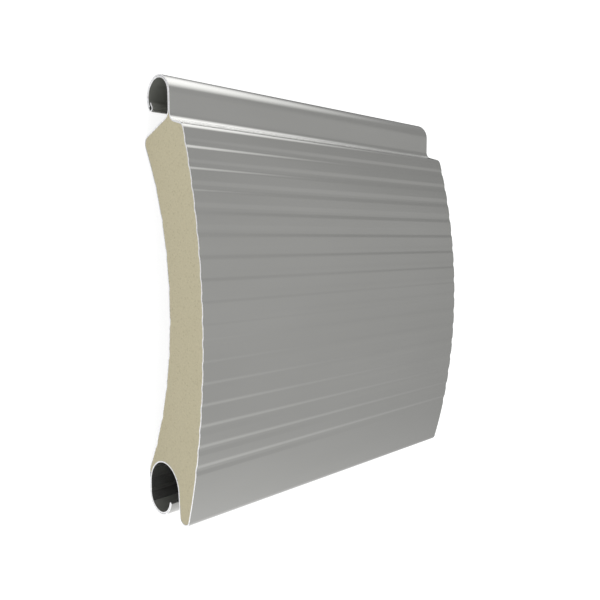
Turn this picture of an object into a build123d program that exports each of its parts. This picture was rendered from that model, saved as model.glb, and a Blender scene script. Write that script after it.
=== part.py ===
from build123d import *
from math import asin, atan2, cos, degrees, hypot, pi, radians, sin, sqrt, tan
import os

os.makedirs("parts", exist_ok=True)

# Roller shutter slat: a roll-formed aluminium strip round a core of rigid foam.
# All sizes are in millimetres. Heights run up the slat from the level of the skirt's
# tip, depths run backwards from the crest of the front face.

# Strip and length
slat_length = 83.0
sheet = 0.3

# Front face, a shallow arch with pressed grooves, plain next to the shoulder and the tip
front_crest_height = 39.1
front_rise = 5.85
front_groove_pitch = 4.16
front_groove_width = 2.2
front_groove_depth = 0.2
front_plain_top = 3.8
front_plain_foot = 11.0

# Back face, a hollow arch with wider-spaced grooves, one of them just above its waist
waist_thickness = 11.3
waist_above_crest = 3.3
back_groove_pitch = 6.67
back_groove_start = 4.54
back_groove_width = 2.2
back_groove_depth = 0.2
back_plain_top = 10.5
back_plain_foot = 6.0

# Shoulder in front of the neck, ridge behind it
shoulder_above_crest = 39.8
shoulder_slope = 16.7
shoulder_corner_radius = 1.6
neck_front_radius = 1.8
ridge_above_shoulder = 0.8
ridge_slope = 22.1
ridge_radius = 1.7
neck_back_radius = 1.8

# Tube at the top, with the hem that holds both edges of the strip
tube_bore_radius = 3.4
tube_above_shoulder = 4.9
tube_axis_depth = 13.9
tube_end_angle = 38.0
hem_angle = 18.0
hem_thickness = 1.3

# Hook at the bottom, with its folded lip
hook_wall_depth = 19.2
hook_upper_radius = 5.05
hook_upper_height = 5.95
hook_lower_radius = 3.47
hook_lower_height = 3.85
lip_angle = 12.0
bend_above_hook = 2.76
back_bend_radius = 3.0

# Skirt in front of the hook
skirt_thickness = 2.85
skirt_tip_flat = 0.34

# The foam ends where the two sheets beside it come closer than twice this radius
foam_tip_radius = 0.12

# Places that follow from the sizes above
double_sheet = 2 * sheet
shoulder_height = front_crest_height + shoulder_above_crest
ridge_line_height = shoulder_height + ridge_above_shoulder
tube_axis_height = shoulder_height + tube_above_shoulder
waist_height = front_crest_height + waist_above_crest
tube_outer_radius = tube_bore_radius + double_sheet
neck_back_depth = tube_axis_depth - tube_bore_radius
neck_front_depth = tube_axis_depth - tube_outer_radius
hook_outer_radius = hook_lower_radius + double_sheet
hook_back_depth = hook_wall_depth + double_sheet
hook_upper_depth = hook_wall_depth - hook_upper_radius
hook_lower_depth = hook_wall_depth - hook_lower_radius
slot_wall_depth = hook_upper_depth - hook_upper_radius
skirt_back_depth = front_rise + skirt_thickness


def arch_radius(half_height, rise):
    """Radius of an arch that rises this far over half its height."""
    return (half_height**2 + rise**2) / (2 * rise)


# The front arch runs down to the tip, the back arch to the bend above the hook
front_radius = arch_radius(front_crest_height, front_rise)
bend_drop = waist_height - hook_upper_height - bend_above_hook
back_radius = arch_radius(bend_drop, hook_back_depth - waist_thickness)
back_centre_depth = waist_thickness + back_radius

# Two equal rounds leave only the flat of the tip between the leaning faces of the skirt
front_lean = asin(front_crest_height / front_radius)
back_lean = atan2(skirt_back_depth - slot_wall_depth, hook_upper_height)
tip_rounds = tan(pi / 4 - front_lean / 2) + tan(pi / 4 + back_lean / 2)
skirt_tip_radius = (skirt_thickness - skirt_tip_flat) / tip_rounds


def at(height, depth):
    """Point of the section: x runs up the slat, y runs out through its front."""
    return (height, -depth)


def on_slope(height, depth, slope, run):
    """Point on the line that falls from a place at a slope, a run of depth away."""
    return at(height - abs(run) * sin(radians(slope)) / cos(radians(slope)), depth + run)


def ridge_round():
    """Centre of the ridge's round: ridge_radius inside the sloping line behind the
    neck, and as far outside the circle of the back face."""
    slope = radians(ridge_slope)
    start_height = ridge_line_height - ridge_radius / cos(slope)
    to_height = waist_height - start_height
    to_depth = back_centre_depth - neck_back_depth
    along = to_depth * cos(slope) - to_height * sin(slope)
    across = to_depth * sin(slope) + to_height * cos(slope)
    reach = along - sqrt((back_radius + ridge_radius) ** 2 - across**2)
    return at(start_height - reach * sin(slope), neck_back_depth + reach * cos(slope))


def bend_round():
    """Centre of the bend where the back face turns down into the hook's wall."""
    depth = hook_back_depth - back_bend_radius
    fall = sqrt((back_radius + back_bend_radius) ** 2 - (back_centre_depth - depth) ** 2)
    return at(waist_height - fall, depth)


# The slat lies on its back and touches the floor with the ridge and the hook's bend,
# so the section is turned until the line below both rounds is level.
ridge_x, ridge_y = ridge_round()
bend_x, bend_y = bend_round()
spread = hypot(ridge_x - bend_x, ridge_y - bend_y)
tilt = atan2(ridge_y - bend_y, ridge_x - bend_x) - asin((ridge_radius - back_bend_radius) / spread)


def level(point):
    """Distance of a section point along the floor and above the origin, once tilted."""
    x, y = point
    return x * cos(tilt) + y * sin(tilt), y * cos(tilt) - x * sin(tilt)


tube_top = level(at(tube_axis_height, tube_axis_depth))[0] + tube_outer_radius
hook_bottom = level(at(hook_lower_height, hook_lower_depth))[0] - hook_outer_radius
floor_drop = back_bend_radius - level((bend_x, bend_y))[1]
section_plane = Plane(
    origin=(-slat_length / 2, -(tube_top + hook_bottom) / 2, floor_drop),
    x_dir=(0, cos(tilt), -sin(tilt)),
    z_dir=(1, 0, 0),
)


def groove_radius(width, depth):
    """Radius of the round groove of a width and depth."""
    return (width**2 / 4 + depth**2) / (2 * depth)


def grooves_in(room, first, pitch):
    """Number of grooves in a stretch of face, the first of them this far from its start."""
    return int((room - first) / pitch) + 1


def press_row(centre, ring, radius, start, pitch, count):
    """Cut one row of round grooves, whose middles lie on a ring round the face's centre."""
    with Locations(centre):
        with PolarLocations(
            radius=ring,
            count=count,
            start_angle=start,
            angular_range=(count - 1) * pitch,
            endpoint=True,
        ):
            Circle(radius, mode=Mode.SUBTRACT)


def press_grooves(wall):
    """Cut the grooves of both faces, deeper in by the wall that lies over them."""
    radius = groove_radius(front_groove_width, front_groove_depth)
    first = front_groove_pitch / 2
    above = grooves_in(shoulder_above_crest - front_plain_top, first, front_groove_pitch)
    below = grooves_in(front_crest_height - front_plain_foot, first, front_groove_pitch)
    pitch = degrees(front_groove_pitch / front_radius)
    press_row(
        centre=at(front_crest_height, front_radius),
        ring=front_radius + radius - front_groove_depth,
        radius=radius + wall,
        start=90 - (above - 0.5) * pitch,
        pitch=pitch,
        count=above + below,
    )
    radius = groove_radius(back_groove_width, back_groove_depth)
    first = back_groove_pitch - back_groove_start
    room_above = ridge_line_height - waist_height - back_plain_top
    room_below = waist_height - hook_upper_height - back_plain_foot
    above = grooves_in(room_above, back_groove_start, back_groove_pitch)
    below = grooves_in(room_below, first, back_groove_pitch)
    pitch = degrees(back_groove_pitch / back_radius)
    press_row(
        centre=at(waist_height, back_centre_depth),
        ring=back_radius - radius + back_groove_depth,
        radius=radius + wall,
        start=90 - degrees(back_groove_start / back_radius) - (above - 1) * pitch,
        pitch=pitch,
        count=above + below,
    )


# Body of the section: skirt, both faces, shoulder, ridge and neck, still ungrooved.
# The straight outline reaches past both faces, and their circles trim it.
with BuildSketch() as body_section:
    with BuildLine():
        Polyline(
            at(0, 0),
            on_slope(shoulder_height, neck_front_depth, shoulder_slope, -neck_front_depth),
            at(shoulder_height, neck_front_depth),
            at(ridge_line_height, neck_back_depth),
            on_slope(
                ridge_line_height,
                neck_back_depth,
                ridge_slope,
                hook_back_depth - neck_back_depth + ridge_radius,
            ),
            at(waist_height, hook_back_depth),
            at(hook_upper_height, hook_back_depth),
            at(hook_upper_height, slot_wall_depth),
            at(0, skirt_back_depth),
            close=True,
        )
    make_face()
    with Locations(at(front_crest_height, front_radius)):
        Circle(front_radius, mode=Mode.INTERSECT)
    with Locations(at(waist_height, back_centre_depth)):
        Circle(back_radius, mode=Mode.SUBTRACT)
    with Locations(at(hook_upper_height, hook_upper_depth)):
        Circle(hook_upper_radius, mode=Mode.SUBTRACT)
    with BuildLine():
        Polyline(
            at(shoulder_height, neck_front_depth),
            at(tube_axis_height, neck_front_depth),
            at(tube_axis_height, neck_back_depth),
            at(ridge_line_height, neck_back_depth),
            close=True,
        )
    make_face()
    arcs = body_section.edges().filter_by(GeomType.CIRCLE).sort_by(SortBy.RADIUS)
    skirt_corner, shoulder_corner = arcs[-1].vertices().sort_by(Axis.X)
    bend_corner, ridge_corner = arcs[-2].vertices().sort_by(Axis.X)
    rounds = [
        (skirt_corner, skirt_tip_radius),
        (Vertex(*at(0, skirt_back_depth)), skirt_tip_radius),
        (shoulder_corner, shoulder_corner_radius),
        (Vertex(*at(shoulder_height, neck_front_depth)), neck_front_radius),
        (Vertex(*at(ridge_line_height, neck_back_depth)), neck_back_radius),
        (ridge_corner, ridge_radius),
        (bend_corner, back_bend_radius),
    ]
    for corner, radius in rounds:
        fillet(body_section.vertices().sort_by_distance(corner)[0], radius=radius)

# Foam section: the inside of the sheet, with its thin tips rounded off
with BuildSketch() as foam_section:
    add(body_section.sketch_local)
    offset(amount=-(sheet + foam_tip_radius), mode=Mode.REPLACE)
    offset(amount=foam_tip_radius, mode=Mode.REPLACE)
    press_grooves(sheet)

# Skin section: the outside of the body with tube, hem, hook and lip, less the foam
with BuildSketch() as skin_section:
    add(body_section.sketch_local)
    press_grooves(0)
    add(foam_section.sketch_local, mode=Mode.SUBTRACT)
    tube_wall = CenterArc(
        at(tube_axis_height, tube_axis_depth),
        radius=tube_bore_radius + sheet,
        start_angle=90,
        arc_size=-(180 + tube_end_angle),
    )
    SlotArc(tube_wall, double_sheet)
    hem_middle = CenterArc(
        at(tube_axis_height, tube_axis_depth),
        radius=tube_outer_radius - hem_thickness / 2,
        start_angle=-90 - tube_end_angle,
        arc_size=hem_angle,
    )
    SlotArc(hem_middle, hem_thickness)
    lip_middle = CenterArc(
        at(hook_lower_height, hook_lower_depth),
        radius=hook_lower_radius + sheet,
        start_angle=-90,
        arc_size=lip_angle - 180,
    )
    SlotArc(lip_middle, double_sheet)
    with BuildLine():
        Line(
            at(hook_lower_height, hook_wall_depth + sheet),
            at(hook_upper_height, hook_wall_depth + sheet),
        )
    trace(line_width=double_sheet)

# Aluminium strip
with BuildPart() as aluminium_skin:
    with BuildSketch(section_plane):
        add(skin_section.sketch_local)
    extrude(amount=slat_length)
aluminium_skin.part.label = "aluminium_skin"

# Core of rigid foam, cast into the strip
with BuildPart() as foam_core:
    with BuildSketch(section_plane):
        add(foam_section.sketch_local)
    extrude(amount=slat_length)
foam_core.part.label = "foam_core"

export_step(aluminium_skin.part, "parts/aluminium_skin.step")
export_step(foam_core.part, "parts/foam_core.step")
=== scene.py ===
"""Looks of a foam-filled roller shutter slat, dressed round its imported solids.

The slat lies on its back: +X runs along it, +Y towards its tube and +Z out of its
ribbed front. Its section is drawn in millimetres as complex numbers, the real part up
the slat from the skirt's tip and the imaginary part out through the front.
"""
import logging
import random
from cmath import phase, rect
from dataclasses import dataclass, field
from enum import Enum
from functools import cached_property
from math import asin, ceil, pi, radians, sqrt, tan
from typing import Dict, List, Optional, Tuple, Union

import bmesh
import bpy
from mathutils import Matrix, Vector
from mathutils.geometry import delaunay_2d_cdt
from mathutils.kdtree import KDTree


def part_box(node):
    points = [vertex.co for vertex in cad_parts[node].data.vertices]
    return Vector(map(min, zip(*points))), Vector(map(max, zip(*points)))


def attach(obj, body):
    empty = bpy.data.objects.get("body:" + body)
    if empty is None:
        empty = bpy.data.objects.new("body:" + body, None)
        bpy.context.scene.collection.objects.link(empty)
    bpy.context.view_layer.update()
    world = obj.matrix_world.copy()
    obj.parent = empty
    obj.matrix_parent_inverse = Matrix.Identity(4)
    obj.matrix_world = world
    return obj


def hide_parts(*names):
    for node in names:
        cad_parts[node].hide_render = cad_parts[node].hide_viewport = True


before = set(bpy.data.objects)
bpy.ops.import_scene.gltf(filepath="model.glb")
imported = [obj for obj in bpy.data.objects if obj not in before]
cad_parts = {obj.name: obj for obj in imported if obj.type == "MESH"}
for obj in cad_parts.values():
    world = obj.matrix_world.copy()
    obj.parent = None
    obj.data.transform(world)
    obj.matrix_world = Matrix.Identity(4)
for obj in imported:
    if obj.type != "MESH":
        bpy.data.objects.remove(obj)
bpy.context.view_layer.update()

LOG = logging.getLogger("roller_shutter_slat")
MM = 0.001
SMALL = 1e-6
FRONTWARD = pi / 2  # direction out through the front, in the section
ALONG = (1, 0, 0)  # direction along the slat
ENDWISE = (0, 1, 1)  # mask that leaves a place as it looks from the slat's end
CUT_FACING = 0.5  # least share along the slat of a sawn face's direction
BLADE_CENTRE = (0.0, 0.03, -0.16)  # centre of the saw blade, in metres
WAVES_PER_MARK = 0.3  # how often a saw mark wavers, per mark
EVEN = (1.0, 1.0, 1.0)  # stretch of a grain that runs no way
GRAIN_DETAIL = 3.0  # how many finer noises a grain adds to the first
GRAIN_SPREAD = (0.3, 0.7)  # noise at which a grain reaches its low and its high value

Socket = bpy.types.NodeSocket
Value = Union[float, int, bool, str, tuple, Vector, Socket, bpy.types.ID]
Inputs = Dict[Union[int, str], Value]
Colour = Tuple[float, float, float, float]
Triple = Tuple[float, float, float]

ARCH_SOCKETS = {"Arch Centre": "Vector", "Arch Radius": "Float"}
LINING_SOCKETS = {**ARCH_SOCKETS, "Reach": "Float", "Least Rise": "Float", "Lining": "Material"}
GROOVE_SIZES = dict.fromkeys(("First Angle", "Pitch", "Width", "Floor", "Depth"), "Float")
GROOVE_SOCKETS = {**ARCH_SOCKETS, **GROOVE_SIZES, "Count": "Int"}


class Slot(Enum):
    """Material slots of the record, whose names the strip's and the foam's finishes bear."""

    SHEET = "coated_aluminium"
    FOAM = "rigid_foam"


class Node(Enum):
    """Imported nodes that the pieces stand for."""

    SHEET = "aluminium_skin"
    FOAM = "foam_core"


class Face(Enum):
    """Arched faces that carry a row of grooves."""

    FRONT = "Front"
    BACK = "Back"


def along(heading: complex, offset: complex) -> float:
    """Length of an offset along a unit heading."""
    return (heading.conjugate() * offset).real


@dataclass(frozen=True)
class Straight:
    """A straight run of the strip, travelled along its heading."""

    through: complex
    heading: complex

    def beside(self, left: float) -> "Straight":
        """The same run, shifted to its left."""
        return Straight(self.through + left * 1j * self.heading, self.heading)

    def nearest(self, point: complex) -> complex:
        """Foot of a point on this run."""
        return self.through + self.heading * along(self.heading, point - self.through)


@dataclass(frozen=True)
class Arch:
    """A round run of the strip, anticlockwise where turn is 1 and clockwise where it is -1."""

    centre: complex
    radius: float
    turn: int

    def beside(self, left: float) -> "Arch":
        """The same run, shifted to its left."""
        return Arch(self.centre, self.radius - self.turn * left, self.turn)

    def turned_back(self) -> "Arch":
        """The same run, travelled the other way."""
        return Arch(self.centre, self.radius, -self.turn)

    def nearest(self, point: complex) -> complex:
        """Foot of a point on this run."""
        offset = point - self.centre
        return self.centre + offset * self.radius / abs(offset)

    def at(self, angle: float) -> complex:
        """Point of this run in a direction from its centre."""
        return self.centre + rect(self.radius, angle)


Run = Union[Straight, Arch]


def crossing(straight: Straight, other: Run) -> complex:
    """Find where a straight run crosses another run.

    Args:
        straight: the straight run.
        other: a straight or a round run.

    Returns:
        The crossing, for a round run the one nearest the straight run's own point.
    """
    if isinstance(other, Straight):
        across = 1j * other.heading
        reach = along(across, other.through - straight.through) / along(across, straight.heading)
        return straight.through + reach * straight.heading
    foot = straight.nearest(other.centre)
    half = sqrt(other.radius**2 - abs(foot - other.centre) ** 2)
    ends = (foot - half * straight.heading, foot + half * straight.heading)
    return min(ends, key=lambda end: abs(end - straight.through))


@dataclass(frozen=True)
class Corner:
    """A rounded corner between two runs, turning left where its radius is positive."""

    before: Run
    after: Run
    radius: float

    @cached_property
    def arch(self) -> Arch:
        """The round itself."""
        runs = (self.before.beside(self.radius), self.after.beside(self.radius))
        straight, other = runs if isinstance(runs[0], Straight) else reversed(runs)
        return Arch(crossing(straight, other), abs(self.radius), 1 if self.radius > 0 else -1)

    @property
    def entry(self) -> complex:
        """Where the run before ends."""
        return self.before.nearest(self.arch.centre)

    @property
    def leaving(self) -> complex:
        """Where the run after starts."""
        return self.after.nearest(self.arch.centre)


@dataclass(frozen=True)
class Spot:
    """A point of the strip's painted surface, with the way into the sheet."""

    place: complex
    inward: complex


@dataclass
class Trail:
    """A stretch of the strip's painted surface, travelled with the sheet on the left."""

    spots: List[Spot] = field(default_factory=list)
    fine_turn: float = radians(4.0)

    def add(self, spot: Spot) -> None:
        """Add a spot, unless the trail already ends there."""
        if not self.spots or abs(spot.place - self.spots[-1].place) > SMALL:
            self.spots.append(spot)

    def round(self, arch: Arch, start: float, end: float, step: Optional[float] = None) -> "Trail":
        """Go round an arch between two directions from its centre.

        Args:
            arch: the run to follow.
            start: direction of the first point, as an angle in radians.
            end: direction of the last point.
            step: distance between points in millimetres, or None to divide by angle.

        Returns:
            The trail itself.
        """
        sweep = (arch.turn * (end - start)) % (2 * pi)
        parts = ceil(sweep / (step / arch.radius if step else self.fine_turn) - SMALL)
        for part in range(parts + 1):
            angle = start + arch.turn * sweep * part / parts
            self.add(Spot(arch.at(angle), -arch.turn * rect(1.0, angle)))
        return self

    def corner(self, corner: Corner) -> "Trail":
        """Go round a rounded corner."""
        centre = corner.arch.centre
        return self.round(corner.arch, phase(corner.entry - centre), phase(corner.leaving - centre))

    def then(self, other: "Trail") -> "Trail":
        """Go on along another trail.

        Args:
            other: the trail that follows this one.

        Returns:
            The trail itself.
        """
        for spot in other.spots:
            self.add(spot)
        return self

    def reverse_side(self, sheet: float) -> List[complex]:
        """The sheet's other surface, which faces the foam."""
        return [spot.place + sheet * spot.inward for spot in self.spots]


@dataclass(frozen=True)
class GrooveRow:
    """A row of grooves pressed into an arched face, in millimetres and radians."""

    face: Face
    arch: Arch
    first_angle: float
    pitch: float
    count: int


@dataclass(frozen=True)
class SlatSection:
    """Cross-section of the slat, with sizes in millimetres and slopes in degrees."""

    sheet: float = 0.3
    front_crest_height: float = 39.1
    front_rise: float = 5.85
    front_groove_pitch: float = 4.16
    front_plain_top: float = 3.8
    front_plain_foot: float = 11.0
    waist_thickness: float = 11.3
    waist_above_crest: float = 3.3
    back_groove_pitch: float = 6.67
    back_groove_start: float = 4.54
    back_plain_top: float = 10.5
    back_plain_foot: float = 6.0
    groove_width: float = 2.44
    groove_floor: float = 0.44
    groove_depth: float = 0.162
    shoulder_above_crest: float = 39.8
    shoulder_slope: float = 16.7
    shoulder_corner_radius: float = 1.6
    neck_front_radius: float = 1.8
    ridge_above_shoulder: float = 0.8
    ridge_slope: float = 22.1
    ridge_radius: float = 1.7
    neck_back_radius: float = 1.8
    tube_bore_radius: float = 3.4
    tube_above_shoulder: float = 4.9
    tube_axis_depth: float = 13.9
    tube_end_angle: float = 38.0
    hem_angle: float = 18.0
    hem_thickness: float = 1.3
    inner_edge_angle: float = 8.0
    hook_wall_depth: float = 19.2
    hook_upper_radius: float = 5.05
    hook_upper_height: float = 5.95
    hook_lower_radius: float = 3.47
    hook_lower_height: float = 3.85
    lip_angle: float = 12.0
    bend_above_hook: float = 2.76
    back_bend_radius: float = 3.0
    skirt_thickness: float = 2.85
    skirt_tip_flat: float = 0.34
    foam_tip: float = 0.24
    face_step: float = 0.1

    @property
    def double_sheet(self) -> float:
        """Thickness of two sheets pressed together."""
        return 2 * self.sheet

    @property
    def shoulder_height(self) -> float:
        """Height of the corner between the neck and the shoulder."""
        return self.front_crest_height + self.shoulder_above_crest

    @property
    def ridge_line_height(self) -> float:
        """Height of the corner between the neck and the ridge's slope."""
        return self.shoulder_height + self.ridge_above_shoulder

    @property
    def waist_height(self) -> float:
        """Height of the thinnest place."""
        return self.front_crest_height + self.waist_above_crest

    @property
    def tube_outer_radius(self) -> float:
        """Outside radius of the tube."""
        return self.tube_bore_radius + self.double_sheet

    @property
    def hook_back_depth(self) -> float:
        """Depth of the hook's outside."""
        return self.hook_wall_depth + self.double_sheet

    @property
    def tube(self) -> Arch:
        """Outside of the tube."""
        axis = complex(self.shoulder_height + self.tube_above_shoulder, -self.tube_axis_depth)
        return Arch(axis, self.tube_outer_radius, 1)

    @property
    def bore(self) -> Arch:
        """Inside of the tube."""
        return self.tube.beside(self.double_sheet)

    @property
    def tube_end(self) -> float:
        """Direction in which the tube's hem ends, as an angle in radians."""
        return -FRONTWARD - radians(self.tube_end_angle)

    @staticmethod
    def arch_radius(half_height: float, rise: float) -> float:
        """Radius of an arch that rises this far over half its height."""
        return (half_height**2 + rise**2) / (2 * rise)

    @cached_property
    def front(self) -> Arch:
        """The front face."""
        radius = self.arch_radius(self.front_crest_height, self.front_rise)
        return Arch(complex(self.front_crest_height, -radius), radius, 1)

    @cached_property
    def back(self) -> Arch:
        """The back face."""
        drop = self.waist_height - self.hook_upper_height - self.bend_above_hook
        radius = self.arch_radius(drop, self.hook_back_depth - self.waist_thickness)
        return Arch(complex(self.waist_height, -self.waist_thickness - radius), radius, -1)

    @property
    def channel(self) -> Arch:
        """Roof of the hook's channel."""
        depth = self.hook_wall_depth - self.hook_upper_radius
        return Arch(complex(self.hook_upper_height, -depth), self.hook_upper_radius, -1)

    @property
    def hook(self) -> Arch:
        """Inside of the hook's lower half."""
        depth = self.hook_wall_depth - self.hook_lower_radius
        return Arch(complex(self.hook_lower_height, -depth), self.hook_lower_radius, -1)

    @property
    def neck_front(self) -> Straight:
        """Front of the neck, down from the tube."""
        return Straight(self.tube.at(FRONTWARD), -1 + 0j)

    @property
    def neck_back(self) -> Straight:
        """Back of the neck, up to the tube."""
        return Straight(complex(self.ridge_line_height, self.bore.at(FRONTWARD).imag), 1 + 0j)

    @property
    def shoulder(self) -> Straight:
        """Shoulder, from the neck out to the front."""
        corner = complex(self.shoulder_height, self.neck_front.through.imag)
        return Straight(corner, rect(1.0, FRONTWARD + radians(self.shoulder_slope)))

    @property
    def ridge(self) -> Straight:
        """Slope from the ridge in to the neck."""
        return Straight(self.neck_back.through, rect(1.0, FRONTWARD - radians(self.ridge_slope)))

    @property
    def hook_back(self) -> Straight:
        """Outside of the hook, up to the bend of the back face."""
        return Straight(complex(self.hook_lower_height, -self.hook_back_depth), 1 + 0j)

    @property
    def tip(self) -> Straight:
        """Flat of the skirt's tip."""
        return Straight(complex(0.0, -self.front_rise - self.skirt_thickness), -1j)

    @property
    def skirt_back(self) -> Straight:
        """Back of the skirt, up to the channel."""
        rise = self.channel.at(FRONTWARD) - self.tip.through
        return Straight(self.tip.through, rise / abs(rise))

    @property
    def tip_radius(self) -> float:
        """Radius of the tip's two rounds, which leave its flat between them."""
        front_lean = asin(self.front_crest_height / self.front.radius)
        back_lean = -phase(self.skirt_back.heading)
        share = tan(pi / 4 - front_lean / 2) + tan(pi / 4 - back_lean / 2)
        return (self.skirt_thickness - self.skirt_tip_flat) / share

    @cached_property
    def shoulder_corner(self) -> Corner:
        """Corner between the shoulder and the front face."""
        return Corner(self.shoulder, self.front, self.shoulder_corner_radius)

    @cached_property
    def tip_corner(self) -> Corner:
        """Corner between the front face and the skirt's tip."""
        return Corner(self.front, self.tip, self.tip_radius)

    @cached_property
    def ridge_corner(self) -> Corner:
        """The ridge that the slat lies on."""
        return Corner(self.back, self.ridge, self.ridge_radius)

    @cached_property
    def bend_corner(self) -> Corner:
        """The bend over the hook that the slat lies on."""
        return Corner(self.hook_back, self.back, self.back_bend_radius)

    @cached_property
    def tilt(self) -> float:
        """Turn that lays the ridge and the bend level on the floor, in radians."""
        span = self.ridge_corner.arch.centre - self.bend_corner.arch.centre
        return phase(span) - asin((self.ridge_radius - self.back_bend_radius) / abs(span))

    @cached_property
    def origin(self) -> complex:
        """Where the section's own origin lies once the slat is level."""
        level = rect(1.0, -self.tilt)
        top = (self.tube.centre * level).real + self.tube_outer_radius
        foot = (self.hook.centre * level).real - self.hook_lower_radius - self.double_sheet
        floor = (self.bend_corner.arch.centre * level).imag - self.back_bend_radius
        return complex(-(top + foot) / 2, -floor)

    def place(self, point: complex) -> Vector:
        """Place of a point of the section in the frame, in metres."""
        placed = (point * rect(1.0, -self.tilt) + self.origin) * MM
        return Vector((0.0, placed.real, placed.imag))

    def towards(self, heading: complex) -> Vector:
        """A heading of the section as a direction in the frame."""
        turned = heading * rect(1.0, -self.tilt)
        return Vector((0.0, turned.real, turned.imag))

    def grooves(self) -> List[GrooveRow]:
        """Lay out the rows of grooves, as many as each face has room for.

        Returns:
            The row of the front, half a pitch either side of its crest, and the row of
            the back, one of whose grooves lies just above the waist.
        """
        above = self.shoulder_above_crest - self.front_plain_top
        below = self.front_crest_height - self.front_plain_foot
        pitch = self.front_groove_pitch
        front = self.groove_row(Face.FRONT, self.front, pitch, pitch / 2, (above, below))
        above = self.ridge_line_height - self.waist_height - self.back_plain_top
        below = self.waist_height - self.hook_upper_height - self.back_plain_foot
        pitch = self.back_groove_pitch
        back = self.groove_row(Face.BACK, self.back, pitch, self.back_groove_start, (above, below))
        return [front, back]

    def groove_row(
        self, face: Face, arch: Arch, pitch: float, start: float, room: Tuple[float, float]
    ) -> GrooveRow:
        """Lay out one row of grooves.

        Args:
            face: the face that it is pressed into.
            arch: that face's run.
            pitch: distance between grooves.
            start: height of the first groove above the middle of the arch.
            room: height of the grooved stretch above and below that middle.

        Returns:
            The row, from its top groove down.
        """
        above = int((room[0] - start) / pitch) + 1
        below = int((room[1] - pitch + start) / pitch) + 1
        top = FRONTWARD - (start + (above - 1) * pitch) / arch.radius
        return GrooveRow(face, arch, top - self.tilt, pitch, above + below)

    def tube_trail(self) -> Trail:
        """Follow the strip from its outer edge in the hem over the tube to the neck.

        Returns:
            The trail, which starts at the strip's edge.
        """
        hem = self.hem_thickness / 2
        inside = self.tube.beside(self.hem_thickness).turned_back()
        fold = Arch(self.tube.beside(hem).at(self.tube_end), hem, 1)
        trail = Trail().round(inside, self.tube_end + radians(self.hem_angle), self.tube_end)
        trail.round(fold, self.tube_end + pi, self.tube_end)
        return trail.round(self.tube, self.tube_end, FRONTWARD)

    def front_trail(self) -> Trail:
        """Follow the strip from the neck down the front and round the skirt into the channel.

        Returns:
            The trail, which ends at the inside of the hook's wall.
        """
        ends = (self.shoulder_corner.leaving, self.tip_corner.entry)
        top, foot = (phase(end - self.front.centre) for end in ends)
        trail = Trail().corner(Corner(self.neck_front, self.shoulder, -self.neck_front_radius))
        trail.corner(self.shoulder_corner).round(self.front, top, foot, self.face_step)
        trail.corner(self.tip_corner).corner(Corner(self.tip, self.skirt_back, self.tip_radius))
        return trail.round(self.channel, FRONTWARD, -FRONTWARD)

    def hook_trail(self) -> Trail:
        """Follow the strip down the inside of the hook, round its lip and back outside.

        Returns:
            The trail, which starts at the inside of the hook's wall.
        """
        lip_end = FRONTWARD + radians(self.lip_angle)
        fold = Arch(self.hook.beside(self.sheet).at(lip_end), self.sheet, 1)
        outside = self.hook.beside(self.double_sheet).turned_back()
        trail = Trail().round(self.hook, -FRONTWARD, lip_end).round(fold, lip_end + pi, lip_end)
        return trail.round(outside, lip_end, -FRONTWARD)

    def back_trail(self) -> Trail:
        """Follow the strip from the hook up the back face to the neck.

        Returns:
            The trail, which ends at the tube.
        """
        ends = (self.bend_corner.leaving, self.ridge_corner.entry)
        foot, top = (phase(end - self.back.centre) for end in ends)
        trail = Trail().corner(self.bend_corner).round(self.back, foot, top, self.face_step)
        trail.corner(self.ridge_corner)
        return trail.corner(Corner(self.ridge, self.neck_back, -self.neck_back_radius))

    def bore_trail(self) -> Trail:
        """Follow the strip round the tube's bore to its inner edge in the hem."""
        inner_edge = self.tube_end + radians(self.inner_edge_angle)
        return Trail().round(self.bore.turned_back(), FRONTWARD, inner_edge)

    def strip_trail(self) -> Trail:
        """Follow the strip from edge to edge."""
        trail = self.tube_trail().then(self.front_trail()).then(self.hook_trail())
        return trail.then(self.back_trail()).then(self.bore_trail())

    def foam_outline(self) -> List[complex]:
        """Draw the outline of the foam.

        Returns:
            Its points, anticlockwise, with blunt tips where the two sheets come together.
        """
        neck = self.neck_front.through.imag - self.sheet
        wall = self.sheet - self.hook_back_depth
        front = self.front_trail().reverse_side(self.sheet)
        back = self.back_trail().reverse_side(self.sheet)
        while front[0].imag < neck + self.foam_tip / 2:
            front.pop(0)
        while front[-1].imag < wall + self.foam_tip:
            front.pop()
        while back[-1].imag > neck - self.foam_tip / 2:
            back.pop()
        while back[0].real < front[-1].real:
            back.pop(0)
        return front + [complex(front[-1].real, wall)] + back


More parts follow.
